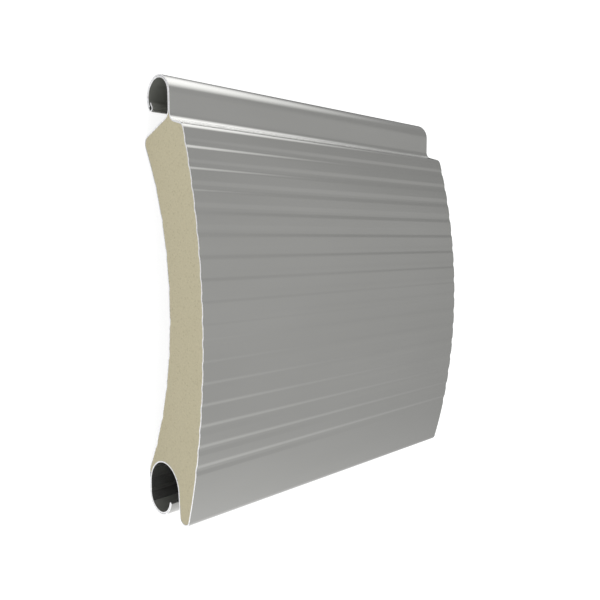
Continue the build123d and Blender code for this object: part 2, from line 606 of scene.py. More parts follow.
class Graph:
    """A node tree under construction.

    Attributes:
        tree: the node tree.
        given: the tree's own inputs by name, where it is a group.
        result: the tree's output node, where it is a group.
    """

    def __init__(self, tree: bpy.types.NodeTree) -> None:
        """Start on an empty tree.

        Args:
            tree: the node tree.
        """
        self.tree = tree
        self.given: Dict[str, Socket] = {}
        self.result: Optional[bpy.types.Node] = None

    @classmethod
    def group(
        cls, name: str, kind: str, inputs: Dict[str, str], outputs: Dict[str, str]
    ) -> "Graph":
        """Start a node group.

        Args:
            name: the group's name.
            kind: type of tree, as Blender names it.
            inputs: type of each input socket by name, without its NodeSocket prefix.
            outputs: type of each output socket by name.

        Returns:
            The graph, with its inputs in given and its output node in result.
        """
        tree = bpy.data.node_groups.new(name, kind)
        for in_out, sockets in (("INPUT", inputs), ("OUTPUT", outputs)):
            for label, value in sockets.items():
                tree.interface.new_socket(name=label, in_out=in_out, socket_type=f"NodeSocket{value}")
        graph = cls(tree)
        given = graph.node("NodeGroupInput", {})
        graph.given = {label: given.outputs[label] for label in inputs}
        graph.result = graph.node("NodeGroupOutput", {})
        return graph

    def node(self, kind: str, inputs: Inputs, **settings: Value) -> bpy.types.Node:
        """Add a node.

        Args:
            kind: type of node, as Blender names it.
            inputs: value or socket for each input, by name or number.
            settings: properties of the node.

        Returns:
            The new node.
        """
        node = self.tree.nodes.new(kind)
        for name, value in settings.items():
            setattr(node, name, value)
        self.feed(node, inputs)
        return node

    def feed(self, node: bpy.types.Node, inputs: Inputs) -> None:
        """Set or link inputs of a node.

        Args:
            node: the node.
            inputs: value or socket for each input, by name or number.
        """
        for key, value in inputs.items():
            if isinstance(value, Socket):
                self.tree.links.new(value, node.inputs[key])
            else:
                node.inputs[key].default_value = value

    def call(self, group: bpy.types.NodeTree, inputs: Inputs) -> bpy.types.Node:
        """Add a node group of the same kind of tree."""
        kind = "GeometryNodeGroup" if self.tree.type == "GEOMETRY" else "ShaderNodeGroup"
        return self.node(kind, inputs, node_tree=group)

    def shape(self, kind: str, inputs: Inputs, **settings: Value) -> Socket:
        """Add a geometry node, named without its prefix, for its first output."""
        return self.node(f"GeometryNode{kind}", inputs, **settings).outputs[0]

    def noted(self, geometry: Socket, name: str, value: Socket) -> Socket:
        """Note a number at each point of a geometry."""
        inputs = {"Geometry": geometry, "Name": name, "Value": value}
        return self.shape("StoreNamedAttribute", inputs, data_type="FLOAT", domain="POINT")

    def attribute(self, name: str) -> Socket:
        """Read a number that was noted at each point, in a material."""
        return self.node("ShaderNodeAttribute", {}, attribute_name=name).outputs["Fac"]

    def math(self, operation: str, *values: Value) -> Socket:
        """Do arithmetic on numbers."""
        return self.node("ShaderNodeMath", dict(enumerate(values)), operation=operation).outputs[0]

    def vector(self, operation: str, *values: Value) -> Socket:
        """Do arithmetic on vectors, which gives a length or a dot product as a number."""
        node = self.node("ShaderNodeVectorMath", dict(enumerate(values)), operation=operation)
        return node.outputs["Value" if operation in ("LENGTH", "DOT_PRODUCT") else "Vector"]

    def scaled(self, vector: Value, scale: Value) -> Socket:
        """A vector times a number."""
        inputs = {0: vector, "Scale": scale}
        return self.node("ShaderNodeVectorMath", inputs, operation="SCALE").outputs["Vector"]

    def part(self, vector: Value, axis: str) -> Socket:
        """One component of a vector."""
        return self.node("ShaderNodeSeparateXYZ", {0: vector}).outputs[axis]

    def ramp(self, value: Value, start: Value, end: Value, low: Value, high: Value) -> Socket:
        """Pass smoothly from low at start to high at end."""
        inputs = {0: value, 1: start, 2: end, 3: low, 4: high}
        return self.node("ShaderNodeMapRange", inputs, interpolation_type="SMOOTHSTEP").outputs["Result"]

    def blend(self, factor: Value, low: Value, high: Value) -> Socket:
        """Mix two numbers."""
        return self.node("ShaderNodeMix", {0: factor, 2: low, 3: high}).outputs[0]

    def mixed(self, factor: Value, low: Value, high: Value) -> Socket:
        """Mix two colours."""
        inputs = {0: factor, 6: low, 7: high}
        return self.node("ShaderNodeMix", inputs, data_type="RGBA").outputs[2]


def put(name: str, data: bpy.types.ID) -> bpy.types.Object:
    """Put a new object into the scene.

    Args:
        name: name of the object.
        data: its mesh, lamp or lens.

    Returns:
        The object, at the origin.
    """
    made = bpy.data.objects.new(name, data)
    bpy.context.scene.collection.objects.link(made)
    return made


def grow(
    name: str, mesh: bpy.types.Mesh, tree: bpy.types.NodeTree, inputs: Dict[str, Value]
) -> bpy.types.Object:
    """Run a geometry tree on a mesh and keep what it makes as a plain mesh.

    Args:
        name: name of the piece.
        mesh: what the tree starts from.
        tree: the geometry tree.
        inputs: value of each of the tree's inputs, by name.

    Returns:
        The finished piece, with no modifier left on it.
    """
    piece = put(name, mesh)
    modifier = piece.modifiers.new(tree.name, "NODES")
    modifier.node_group = tree
    for item in tree.interface.items_tree:
        if item.in_out == "INPUT" and item.name in inputs:
            modifier[item.identifier] = inputs[item.name]
    depsgraph = bpy.context.evaluated_depsgraph_get()
    made = bpy.data.meshes.new_from_object(
        piece.evaluated_get(depsgraph), preserve_all_data_layers=True, depsgraph=depsgraph
    )
    piece.modifiers.remove(modifier)
    piece.data = made
    made.name = name
    return piece


def declare(piece: bpy.types.Object, node: Node) -> None:
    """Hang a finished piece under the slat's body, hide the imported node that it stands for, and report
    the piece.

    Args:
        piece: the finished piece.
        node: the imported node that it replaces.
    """
    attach(piece, "root")
    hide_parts(node.value)
    LOG.info("%s: %d faces", piece.name, len(piece.data.polygons))


def labelled(label: str, values: Dict[str, Value]) -> Dict[str, Value]:
    """The same values under names that start with a label."""
    return {f"{label} {name}": value for name, value in values.items()}


def fine_grain_group() -> bpy.types.NodeTree:
    """Build the grain that every finish shows, as a value between two limits.

    Returns:
        A shader group that puts out the value, and the bare grain as a height.
    """
    inputs = {"Grain Size": "Float", "Stretch": "Vector", "Low": "Float", "High": "Float"}
    graph = Graph.group("fine_grain", "ShaderNodeTree", inputs, {"Value": "Float", "Height": "Float"})
    given = graph.given
    place = graph.node("ShaderNodeTexCoord", {}).outputs["Object"]
    size = graph.scaled(given["Stretch"], given["Grain Size"])
    cells = {"Vector": graph.vector("DIVIDE", place, size), "Scale": 1.0, "Detail": GRAIN_DETAIL}
    noise = graph.node("ShaderNodeTexNoise", cells).outputs["Fac"]
    value = graph.ramp(noise, *GRAIN_SPREAD, given["Low"], given["High"])
    graph.feed(graph.result, {"Value": value, "Height": noise})
    return graph.tree


def saw_marks_group() -> bpy.types.NodeTree:
    """Build the curved marks that a round saw blade leaves on a cut end.

    Returns:
        A shader group that puts out the marks as a height.
    """
    inputs = {"Blade Centre": "Vector", "Spacing": "Float", "Waver": "Float"}
    graph = Graph.group("saw_marks", "ShaderNodeTree", inputs, {"Height": "Float"})
    given = graph.given
    place = graph.node("ShaderNodeTexCoord", {}).outputs["Object"]
    flat = graph.vector("MULTIPLY", graph.vector("SUBTRACT", place, given["Blade Centre"]), ENDWISE)
    lines = graph.math("DIVIDE", graph.vector("LENGTH", flat), given["Spacing"])
    waves = graph.math("DIVIDE", WAVES_PER_MARK, given["Spacing"])
    cells = {"Vector": graph.scaled(place, waves), "Scale": 1.0}
    noise = graph.node("ShaderNodeTexNoise", cells).outputs["Fac"]
    wavered = graph.math("MULTIPLY_ADD", noise, given["Waver"], lines)
    height = graph.math("SINE", graph.math("MULTIPLY", wavered, 2 * pi))
    graph.feed(graph.result, {"Height": graph.math("MULTIPLY", height, noise)})
    return graph.tree


@dataclass(frozen=True)
class EffectGroups:
    """Effects that more than one finish uses."""

    grain: bpy.types.NodeTree
    saw_marks: bpy.types.NodeTree

    def grained(
        self, graph: Graph, size: float, low: float = 0.0, high: float = 1.0, stretch: Triple = EVEN
    ) -> bpy.types.Node:
        """Place the grain in a finish."""
        inputs = {"Grain Size": size, "Stretch": stretch, "Low": low, "High": high}
        return graph.call(self.grain, inputs)

    def sawn(self, graph: Graph, spacing: float, waver: float) -> Socket:
        """Place the saw marks in a finish, as a height."""
        inputs = {"Blade Centre": BLADE_CENTRE, "Spacing": spacing, "Waver": waver}
        return graph.call(self.saw_marks, inputs).outputs["Height"]


def new_material(name: str) -> Tuple[bpy.types.Material, Graph]:
    """Start a material with an empty node tree.

    Args:
        name: name of the material.

    Returns:
        The material, and the graph of its nodes.
    """
    material = bpy.data.materials.new(name)
    material.use_nodes = True
    material.node_tree.nodes.clear()
    return material, Graph(material.node_tree)


def surface(graph: Graph, height: Socket, relief: float, inputs: Inputs) -> None:
    """End a material in a Principled surface with a fine relief.

    Args:
        graph: the material's nodes.
        height: height of the surface at each point.
        relief: how far a height of 1 stands out, in metres.
        inputs: the other inputs of the surface.
    """
    bump = graph.node("ShaderNodeBump", {"Height": height, "Distance": relief})
    shader = graph.node("ShaderNodeBsdfPrincipled", {**inputs, "Normal": bump.outputs["Normal"]})
    graph.node("ShaderNodeOutputMaterial", {"Surface": shader.outputs[0]})


@dataclass(frozen=True)
class CoatedAluminium:
    """Satin metallic paint, baked on the coil before it is formed."""

    dark: Colour = (0.294, 0.294, 0.283, 1.0)
    light: Colour = (0.306, 0.306, 0.295, 1.0)
    # painted highlight: near-white colour laid on the shoulder in place of its reflected sheen
    painted_sheen: Colour = (0.93, 0.93, 0.915, 1.0)
    metallic: float = 0.8
    smooth: float = 0.06
    rough: float = 0.1
    grain: float = 0.9 * MM
    relief: float = 0.0004 * MM
    cloud: float = 14 * MM
    cloud_stretch: Triple = (3.0, 1.0, 1.0)
    name: str = "coated_aluminium"

    def material(self, effects: EffectGroups) -> bpy.types.Material:
        """Build the finish, with a painted highlight: a pale colour where the mesh notes the shoulder's
        sheen.

        Args:
            effects: the shader groups that finishes share.

        Returns:
            The finish as a material.
        """
        material, graph = new_material(self.name)
        fine = effects.grained(graph, self.grain, self.smooth, self.rough)
        broad = effects.grained(graph, self.cloud, stretch=self.cloud_stretch)
        coat = graph.mixed(broad.outputs["Value"], self.dark, self.light)
        inputs = {
            # painted highlight: the pale colour is mixed in where the mesh notes the shoulder's sheen
            "Base Color": graph.mixed(graph.attribute("painted_sheen_mask"), coat, self.painted_sheen),
            "Metallic": self.metallic,
            "Roughness": fine.outputs["Value"],
        }
        surface(graph, fine.outputs["Height"], self.relief, inputs)
        return material


@dataclass(frozen=True)
class DullShadedCoat(CoatedAluminium):
    """The same paint made duller in the hollows of the strip, with a slightly darker, greener colour as
    painted shade.
    """

    # painted shade: a slightly darker, greener copy of the coat's colours for the bore
    dark: Colour = (0.282, 0.289, 0.264, 1.0)
    light: Colour = (0.294, 0.301, 0.275, 1.0)
    metallic: float = 0.5
    smooth: float = 0.45
    rough: float = 0.55
    name: str = "bore_dull_and_shaded"


@dataclass(frozen=True)
class HookShadedCoat(DullShadedCoat):
    """The same dull paint at the bottom of the hook, with its colour darkened further as painted shade."""

    # painted shade: the coat's colours darkened for the hook's hollow
    dark: Colour = (0.2, 0.205, 0.188, 1.0)
    light: Colour = (0.21, 0.215, 0.197, 1.0)
    name: str = "hook_dull_and_shaded"


@dataclass(frozen=True)
class CutAluminium:
    """Bare metal of the sheet's sawn edges."""

    dark: Colour = (0.66, 0.66, 0.67, 1.0)
    light: Colour = (0.84, 0.84, 0.85, 1.0)
    smooth: float = 0.32
    rough: float = 0.5
    grain: float = 0.12 * MM
    grain_stretch: Triple = (1.0, 1.0, 6.0)
    tone_grain: float = 0.5 * MM
    mark_spacing: float = 0.22 * MM
    mark_waver: float = 1.2
    relief: float = 0.006 * MM

    def material(self, effects: EffectGroups) -> bpy.types.Material:
        """Build the finish.

        Args:
            effects: the shader groups that finishes share.

        Returns:
            The finish as a material.
        """
        material, graph = new_material("cut_aluminium")
        fine = effects.grained(graph, self.grain, self.smooth, self.rough, self.grain_stretch)
        tone = effects.grained(graph, self.tone_grain)
        inputs = {
            "Base Color": graph.mixed(tone.outputs["Value"], self.dark, self.light),
            "Metallic": 1.0,
            "Roughness": fine.outputs["Value"],
        }
        surface(graph, effects.sawn(graph, self.mark_spacing, self.mark_waver), self.relief, inputs)
        return material


@dataclass(frozen=True)
class RigidFoam:
    """Sawn polyurethane foam, matt and speckled with cut cells that are painted darker as their shade."""

    shade: Colour = (0.575, 0.525, 0.366, 1.0)
    light: Colour = (0.617, 0.566, 0.398, 1.0)
    # painted shade: darker colour inside the cut cells
    pore_and_shade: Colour = (0.508, 0.46, 0.311, 1.0)
    roughness: float = 0.95
    tone_grain: float = 0.45 * MM
    cell: float = 0.3 * MM
    mark_spacing: float = 0.9 * MM
    mark_waver: float = 1.5
    mark_share: float = 0.15
    relief: float = 0.02 * MM

    def material(self, effects: EffectGroups) -> bpy.types.Material:
        """Build the finish, with painted shade: darker where the mesh notes a cut cell.

        Args:
            effects: the shader groups that finishes share.

        Returns:
            The finish as a material.
        """
        material, graph = new_material("rigid_foam")
        place = graph.node("ShaderNodeTexCoord", {}).outputs["Object"]
        cells = graph.node("ShaderNodeTexVoronoi", {"Vector": place, "Scale": 1 / self.cell})
        tone = effects.grained(graph, self.tone_grain)
        ground = graph.mixed(tone.outputs["Value"], self.shade, self.light)
        marks = effects.sawn(graph, self.mark_spacing, self.mark_waver)
        height = graph.math("MULTIPLY_ADD", marks, self.mark_share, cells.outputs["Distance"])
        inputs = {
            # painted shade: the cells' depth darkens the foam's colour
            "Base Color": graph.mixed(graph.attribute("pore_and_shade"), ground, self.pore_and_shade),
            "Roughness": self.roughness,
        }
        surface(graph, height, self.relief, inputs)
        return material


@dataclass(frozen=True)
class Lining:
    """Duller paint in a hollow of the strip, whose colour is darkened there as painted shade.

    Attributes:
        label: what the names of its tree inputs start with.
        hollow: the round that it lines.
        reach: how far off that round it goes, in millimetres.
        least_rise: least share up the slat of its faces' direction, or -2 for all faces.
        coat: the paint.
    """

    label: str
    hollow: Arch
    reach: float
    least_rise: float
    coat: DullShadedCoat


@dataclass
class FormedStrip:
    """The roll-formed aluminium strip, swept along its folded path.

    Attributes:
        section: cross-section of the slat.
        coat: paint of the strip.
        linings: where that is duller, with painted shade darkening its colour.
        bare: finish of its sawn edges.
        length: length in metres.
        seam: gap between two sheets pressed together, in millimetres.
        burr_round: radius that the saw leaves on the sheet's corners.
        crease: angle in degrees from which an edge looks sharp.
        face_reach: how far off a face's arch its grooves are pressed in, at most.
        sheen_reach: how far behind and in front of the shoulder the painted highlight reaches.
        sheen_facing: cosines to the shoulder's direction between which the painted highlight fades in.
    """

    section: SlatSection
    coat: CoatedAluminium
    linings: List[Lining]
    bare: CutAluminium
    length: float
    seam: float = 0.03
    burr_round: float = 0.04
    crease: float = 20.0
    face_reach: float = 0.01
    sheen_reach: Tuple[float, float] = (0.05, 0.4)
    sheen_facing: Tuple[float, float] = (0.74, 0.92)

    def on_arch_group(self) -> bpy.types.NodeTree:
        """Build the rule that tells which points lie on an arch.

        Returns:
            A geometry group that puts out 1 on the arch and 0 elsewhere.
        """
        inputs = {**ARCH_SOCKETS, "Reach": "Float"}
        graph = Graph.group("on_arch", "GeometryNodeTree", inputs, {"On Arch": "Float"})
        given = graph.given
        offset = graph.vector("SUBTRACT", graph.shape("InputPosition", {}), given["Arch Centre"])
        length = graph.vector("LENGTH", graph.vector("MULTIPLY", offset, ENDWISE))
        beside = graph.math("ABSOLUTE", graph.math("SUBTRACT", length, given["Arch Radius"]))
        graph.feed(graph.result, {"On Arch": graph.math("LESS_THAN", beside, given["Reach"])})
        return graph.tree

    def groove_group(self, on_arch: bpy.types.NodeTree) -> bpy.types.NodeTree:
        """Build the rule that presses a row of grooves into an arch.

        Args:
            on_arch: the rule that tells which points lie on it.

        Returns:
            A geometry group that puts out how far the sheet is pressed in at each point.
        """
        graph = Graph.group("groove_row", "GeometryNodeTree", GROOVE_SOCKETS, {"Pressed": "Float"})
        given = graph.given
        offset = graph.vector("SUBTRACT", graph.shape("InputPosition", {}), given["Arch Centre"])
        angle = graph.math("ARCTAN2", graph.part(offset, "Z"), graph.part(offset, "Y"))
        turned = graph.math("SUBTRACT", angle, given["First Angle"])
        run = graph.math("DIVIDE", graph.math("MULTIPLY", turned, given["Arch Radius"]), given["Pitch"])
        last = graph.math("SUBTRACT", given["Count"], 1.0)
        groove = graph.math("MINIMUM", graph.math("MAXIMUM", graph.math("ROUND", run), 0.0), last)
        reach = graph.math("ABSOLUTE", graph.math("SUBTRACT", run, groove))
        beside = graph.math("MULTIPLY", reach, given["Pitch"])
        floor, brim = (graph.math("MULTIPLY", given[name], 0.5) for name in ("Floor", "Width"))
        depth = graph.ramp(beside, floor, brim, given["Depth"], 0.0)
        arch = {name: given[name] for name in ARCH_SOCKETS}
        here = graph.call(on_arch, {**arch, "Reach": self.face_reach * MM}).outputs[0]
        graph.feed(graph.result, {"Pressed": graph.math("MULTIPLY", depth, here)})
        return graph.tree

    @staticmethod
    def sweep(graph: Graph, depth: Socket) -> Socket:
        """Sweep the sheet along its path.

        Args:
            graph: the strip's tree.
            depth: how far in from its painted surface the sheet's middle lies.

        Returns:
            The swept sheet, with its sharp edges marked.
        """
        given = graph.given
        path = graph.shape("MeshToCurve", {"Mesh": given["Geometry"]})
        inward = graph.vector("CROSS_PRODUCT", ALONG, graph.shape("InputTangent", {}))
        moved = graph.shape("SetPosition", {"Geometry": path, "Offset": graph.scaled(inward, depth)})
        held = graph.shape("SetCurveNormal", {"Curve": moved, "Normal": ALONG}, mode="FREE")
        bar = graph.shape("CurvePrimitiveQuadrilateral", {0: given["Length"], 1: given["Sheet"]})
        corners = {"Curve": bar, "Radius": given["Burr Round"], "Limit Radius": True}
        eased = graph.shape("FilletCurve", corners, mode="POLY")
        swept = graph.shape("CurveToMesh", {"Curve": held, "Profile Curve": eased, "Fill Caps": True})
        soft = graph.math("LESS_THAN", graph.shape("InputMeshEdgeAngle", {}), given["Crease"])
        return graph.shape("SetShadeSmooth", {"Geometry": swept, "Shade Smooth": soft}, domain="EDGE")

    def painted_sheen_mask(self, graph: Graph, place: Socket, normal: Socket) -> Socket:
        """Find where a pale painted highlight goes on the shoulder and over its corner, standing in for its
        reflected sheen.

        Args:
            graph: the strip's tree.
            place: place of each point.
            normal: direction of each point.

        Returns:
            The painted highlight at each point, from 0 to 1.
        """
        behind, before = self.sheen_reach
        towards = graph.given["Shoulder Normal"]
        offset = graph.vector("SUBTRACT", place, graph.given["Shoulder"])
        off = graph.vector("DOT_PRODUCT", offset, towards)
        close = graph.math("LESS_THAN", off, before * MM)
        beside = graph.ramp(off, -behind * MM, 0.0, 0.0, close)
        return graph.ramp(graph.vector("DOT_PRODUCT", normal, towards), *self.sheen_facing, 0.0, beside)

    @staticmethod
    def inside(
        graph: Graph, on_arch: bpy.types.NodeTree, own: Inputs, place: Socket, normal: Socket
    ) -> Socket:
        """Tell which faces look into a hollow of the strip.

        Args:
            graph: the strip's tree.
            on_arch: the rule that tells which points lie on an arch.
            own: the tree's inputs for the hollow's lining, by name.
            place: place of each face.
            normal: direction of each face.

        Returns:
            1 for faces that look into the hollow and rise enough, and 0 for the rest.
        """
        here = graph.call(on_arch, {name: own[name] for name in (*ARCH_SOCKETS, "Reach")}).outputs[0]
        inward = graph.vector("SUBTRACT", own["Arch Centre"], place)
        facing = graph.math("GREATER_THAN", graph.vector("DOT_PRODUCT", normal, inward), 0.0)
        high = graph.math("GREATER_THAN", graph.part(normal, "Y"), own["Least Rise"])
        return graph.math("MULTIPLY", graph.math("MULTIPLY", here, facing), high)

    def strip_group(self) -> bpy.types.NodeTree:
        """Build the tree that forms the strip from the path of its painted surface.

        Returns:
            A geometry tree with the sizes of the sheet, its linings and groove rows as inputs.
        """
        inputs = {"Geometry": "Geometry", "Coat": "Material", "Bare Metal": "Material"}
        inputs.update(dict.fromkeys(("Sheet", "Length", "Burr Round", "Crease"), "Float"))
        inputs.update(dict.fromkeys(("Shoulder", "Shoulder Normal"), "Vector"))
        for lining in self.linings:
            inputs.update(labelled(lining.label, LINING_SOCKETS))
        for face in Face:
            inputs.update(labelled(face.value, GROOVE_SOCKETS))
        graph = Graph.group("formed_strip", "GeometryNodeTree", inputs, {"Geometry": "Geometry"})
        given = graph.given
        on_arch = self.on_arch_group()
        rule = self.groove_group(on_arch)
        depth = graph.math("MULTIPLY", given["Sheet"], 0.5)
        for face in Face:
            row = graph.call(rule, {name: given[f"{face.value} {name}"] for name in GROOVE_SOCKETS})
            depth = graph.math("ADD", depth, row.outputs[0])
        swept = self.sweep(graph, depth)
        place, normal = graph.shape("InputPosition", {}), graph.shape("InputNormal", {})
        # note where the painted highlight goes, on the shoulder and over its corner
        painted_sheen = graph.noted(swept, "painted_sheen_mask", self.painted_sheen_mask(graph, place, normal))
        real = graph.shape("RealizeInstances", {"Geometry": painted_sheen})
        dressed = graph.shape("SetMaterial", {"Geometry": real, "Material": given["Coat"]})
        for lining in self.linings:
            own = {name: given[f"{lining.label} {name}"] for name in LINING_SOCKETS}
            inside = self.inside(graph, on_arch, own, place, normal)
            inputs = {"Geometry": dressed, "Selection": inside, "Material": own["Lining"]}
            dressed = graph.shape("SetMaterial", inputs)
        endwise = graph.math("ABSOLUTE", graph.part(normal, "X"))
        sawn = graph.math("GREATER_THAN", endwise, CUT_FACING)
        inputs = {"Geometry": dressed, "Selection": sawn, "Material": given["Bare Metal"]}
        graph.feed(graph.result, {"Geometry": graph.shape("SetMaterial", inputs)})
        return graph.tree

    def path(self) -> bpy.types.Mesh:
        """Draw the path of the painted surface.

        Returns:
            A chain of edges in the middle of the slat.
        """
        mesh = bpy.data.meshes.new("strip_path")
        spots = self.section.strip_trail().spots
        links = [(number, number + 1) for number in range(len(spots) - 1)]
        mesh.from_pydata([self.section.place(spot.place) for spot in spots], links, [])
        return mesh

    def build(self, effects: EffectGroups) -> bpy.types.Object:
        """Form the strip.

        Args:
            effects: the shader groups that its finishes share.

        Returns:
            The finished piece.
        """
        section = self.section
        inputs = {
            "Sheet": (section.sheet - self.seam / 2) * MM,
            "Length": self.length,
            "Burr Round": self.burr_round * MM,
            "Crease": radians(self.crease),
            "Coat": self.coat.material(effects),
            "Bare Metal": self.bare.material(effects),
            "Shoulder": section.place(section.shoulder.through),
            "Shoulder Normal": section.towards(-1j * section.shoulder.heading),
        }
        for lining in self.linings:
            sizes = {
                "Arch Centre": section.place(lining.hollow.centre),
                "Arch Radius": lining.hollow.radius * MM,
                "Reach": lining.reach * MM,
                "Least Rise": lining.least_rise,
                "Lining": lining.coat.material(effects),
            }
            inputs.update(labelled(lining.label, sizes))
        for row in section.grooves():
            sizes = {
                "Arch Centre": section.place(row.arch.centre),
                "Arch Radius": row.arch.radius * MM,
                "Count": row.count,
                "First Angle": row.first_angle,
                "Pitch": row.pitch * MM,
                "Width": section.groove_width * MM,
                "Floor": section.groove_floor * MM,
                "Depth": section.groove_depth * MM,
            }
            inputs.update(labelled(row.face.value, sizes))
        piece = grow("formed_strip", self.path(), self.strip_group(), inputs)
        declare(piece, Node.SHEET)
        return piece


@dataclass
class FoamBlock:
    """The foam between the sheets, sawn off with them at both ends.

    Attributes:
        section: cross-section of the slat.
        finish: finish of the foam.
        length: length of the slat in metres.
        grain: distance between the points of the sawn face, in millimetres.
        scatter: share of that by which they are off an even honeycomb.
        recess: how far the foam lies behind the sheet's sawn edges.
        cell: size of its cells.
        cell_depth: depth of a cut cell.
        cell_core: flat middle of a cut cell, as a share of a cell.
        cell_reach: smallest and largest edge of a cut cell, as shares of a cell.
        seed: start of what is left to chance.
    """

    section: SlatSection
    finish: RigidFoam
    length: float
    grain: float = 0.18
    scatter: float = 0.25
    recess: float = 0.06
    cell: float = 0.55
    cell_depth: float = 0.05
    cell_core: float = 0.1
    cell_reach: Tuple[float, float] = (0.25, 0.6)
    seed: int = 7

    def outline(self) -> List[complex]:
        """Divide the outline of the foam about as finely as its face.

        Returns:
            Its points, anticlockwise.
        """
        corners = self.section.foam_outline()
        points: List[complex] = []
        for start, end in zip(corners, corners[1:] + corners[:1]):
            parts = max(1, round(abs(end - start) / self.grain))
            points += [start + (end - start) * part / parts for part in range(parts)]
        return points

    def scattered(self, outline: List[complex]) -> List[complex]:
        """Scatter points over the face in an uneven honeycomb.

        Args:
            outline: the outline, which the points keep clear of.

        Returns:
            The points, some of them outside the outline.
        """
        near = KDTree(len(outline))
        for number, point in enumerate(outline):
            near.insert((point.real, point.imag, 0.0), number)
        near.balance()
        chance = random.Random(self.seed)
        low = complex(min(p.real for p in outline), min(p.imag for p in outline))
        high = complex(max(p.real for p in outline), max(p.imag for p in outline))
        row_step = self.grain * sqrt(3) / 2
        points = []
        for row in range(int((high.real - low.real) / row_step)):
            for column in range(int((high.imag - low.imag) / self.grain)):
                shift = complex(chance.uniform(-1, 1), chance.uniform(-1, 1)) * self.scatter * self.grain
                grid = complex(row * row_step, (column + row % 2 / 2) * self.grain)
                point = low + grid + shift
                if near.find((point.real, point.imag, 0.0))[2] > self.grain / 2:
                    points.append(point)
        return points

    def face(self) -> bpy.types.Mesh:
        """Draw the sawn face in the middle of the slat.

        Returns:
            A flat mesh that faces along +X.
        """
        outline = self.outline()
        points = outline + self.scattered(outline)
        flat = [Vector((point.real, point.imag)) for point in points]
        corners, _, faces, *_ = delaunay_2d_cdt(flat, [], [list(range(len(outline)))], 1, SMALL)
        places = [self.section.place(complex(*corner)) for corner in corners]
        mesh = bpy.data.meshes.new("foam_face")
        mesh.from_pydata(places, [], faces)
        made = bmesh.new()
        made.from_mesh(mesh)
        bmesh.ops.delete(made, geom=[v for v in made.verts if not v.link_faces], context="VERTS")
        made.to_mesh(mesh)
        made.free()
        return mesh

    def pores(self, graph: Graph, place: Socket) -> Socket:
        """Open the cells that the saw cut.

        Args:
            graph: the block's tree.
            place: place of each point.

        Returns:
            How deep each point lies in a cell, from 0 to 1.
        """
        given = graph.given
        spots = {"Vector": graph.vector("DIVIDE", place, given["Cell Size"]), "W": given["Seed"]}
        cells = graph.node("ShaderNodeTexVoronoi", {**spots, "Scale": 1.0}, voronoi_dimensions="4D")
        least, most = self.cell_reach
        chance = graph.part(cells.outputs["Color"], "X")
        reach = graph.math("MULTIPLY_ADD", chance, most - least, least)
        return graph.ramp(cells.outputs["Distance"], self.cell_core, reach, 1.0, 0.0)

    def block_group(self) -> bpy.types.NodeTree:
        """Build the tree that draws the face out to a block and opens the cells at its ends.

        Returns:
            A geometry tree with the sizes of the block and its cells as inputs.
        """
        inputs = {"Geometry": "Geometry", "Foam": "Material"}
        inputs.update(dict.fromkeys(("Length", "Cell Size", "Cell Depth", "Seed"), "Float"))
        graph = Graph.group("foam_block", "GeometryNodeTree", inputs, {"Geometry": "Geometry"})
        given = graph.given
        back = graph.scaled(ALONG, graph.math("MULTIPLY", given["Length"], -0.5))
        start = graph.shape("SetPosition", {"Geometry": given["Geometry"], "Offset": back})
        pull = {"Mesh": start, "Offset": ALONG, "Offset Scale": given["Length"], "Individual": False}
        drawn = graph.shape("ExtrudeMesh", pull, mode="FACES")
        turned = graph.shape("FlipFaces", {"Mesh": start})
        both = graph.node("GeometryNodeJoinGeometry", {})
        for half in (drawn, turned):
            graph.feed(both, {0: half})
        closed = graph.shape("MergeByDistance", {"Geometry": both.outputs[0], "Distance": SMALL})
        place = graph.shape("InputPosition", {})
        pore_and_shade = self.pores(graph, place)
        side = graph.math("SIGN", graph.part(place, "X"))
        sunk = graph.math("MULTIPLY", graph.math("MULTIPLY", side, pore_and_shade), given["Cell Depth"])
        offset = graph.scaled(ALONG, graph.math("MULTIPLY", sunk, -1.0))
        # note the cells' depth, which also sets their painted shade
        noted = graph.noted(closed, "pore_and_shade", pore_and_shade)
        opened = graph.shape("SetPosition", {"Geometry": noted, "Offset": offset})
        real = graph.shape("RealizeInstances", {"Geometry": opened})
        foam = graph.shape("SetMaterial", {"Geometry": real, "Material": given["Foam"]})
        graph.feed(graph.result, {"Geometry": foam})
        return graph.tree

    def build(self, effects: EffectGroups) -> bpy.types.Object:
        """Draw the block out and open its cells.

        Args:
            effects: the shader groups that its finish shares.

        Returns:
            The finished piece.
        """
        face, foam = self.face(), self.finish.material(effects)
        face.materials.append(foam)
        inputs = {
            "Length": self.length - 2 * self.recess * MM,
            "Cell Size": self.cell * MM,
            "Cell Depth": self.cell_depth * MM,
            "Seed": float(self.seed),
            "Foam": foam,
        }
        piece = grow("foam_block", face, self.block_group(), inputs)
        declare(piece, Node.FOAM)
        return piece


@dataclass(frozen=True)
class SkyPatch:
    """A wide patch of the sky with soft edges, darker or brighter than the rest.

    Attributes:
        towards: direction of its middle.
        change: how much brighter its middle is.
        edge: cosine of the angle from the middle at which it begins.
        core: the like number at which the change would be full, over 1 if it never is.
        fade: how far towards +X the patch fades in, from nothing to full.
    """

    towards: Triple
    change: float
    edge: float
    core: float
    fade: Tuple[float, float] = (-3.0, -2.0)


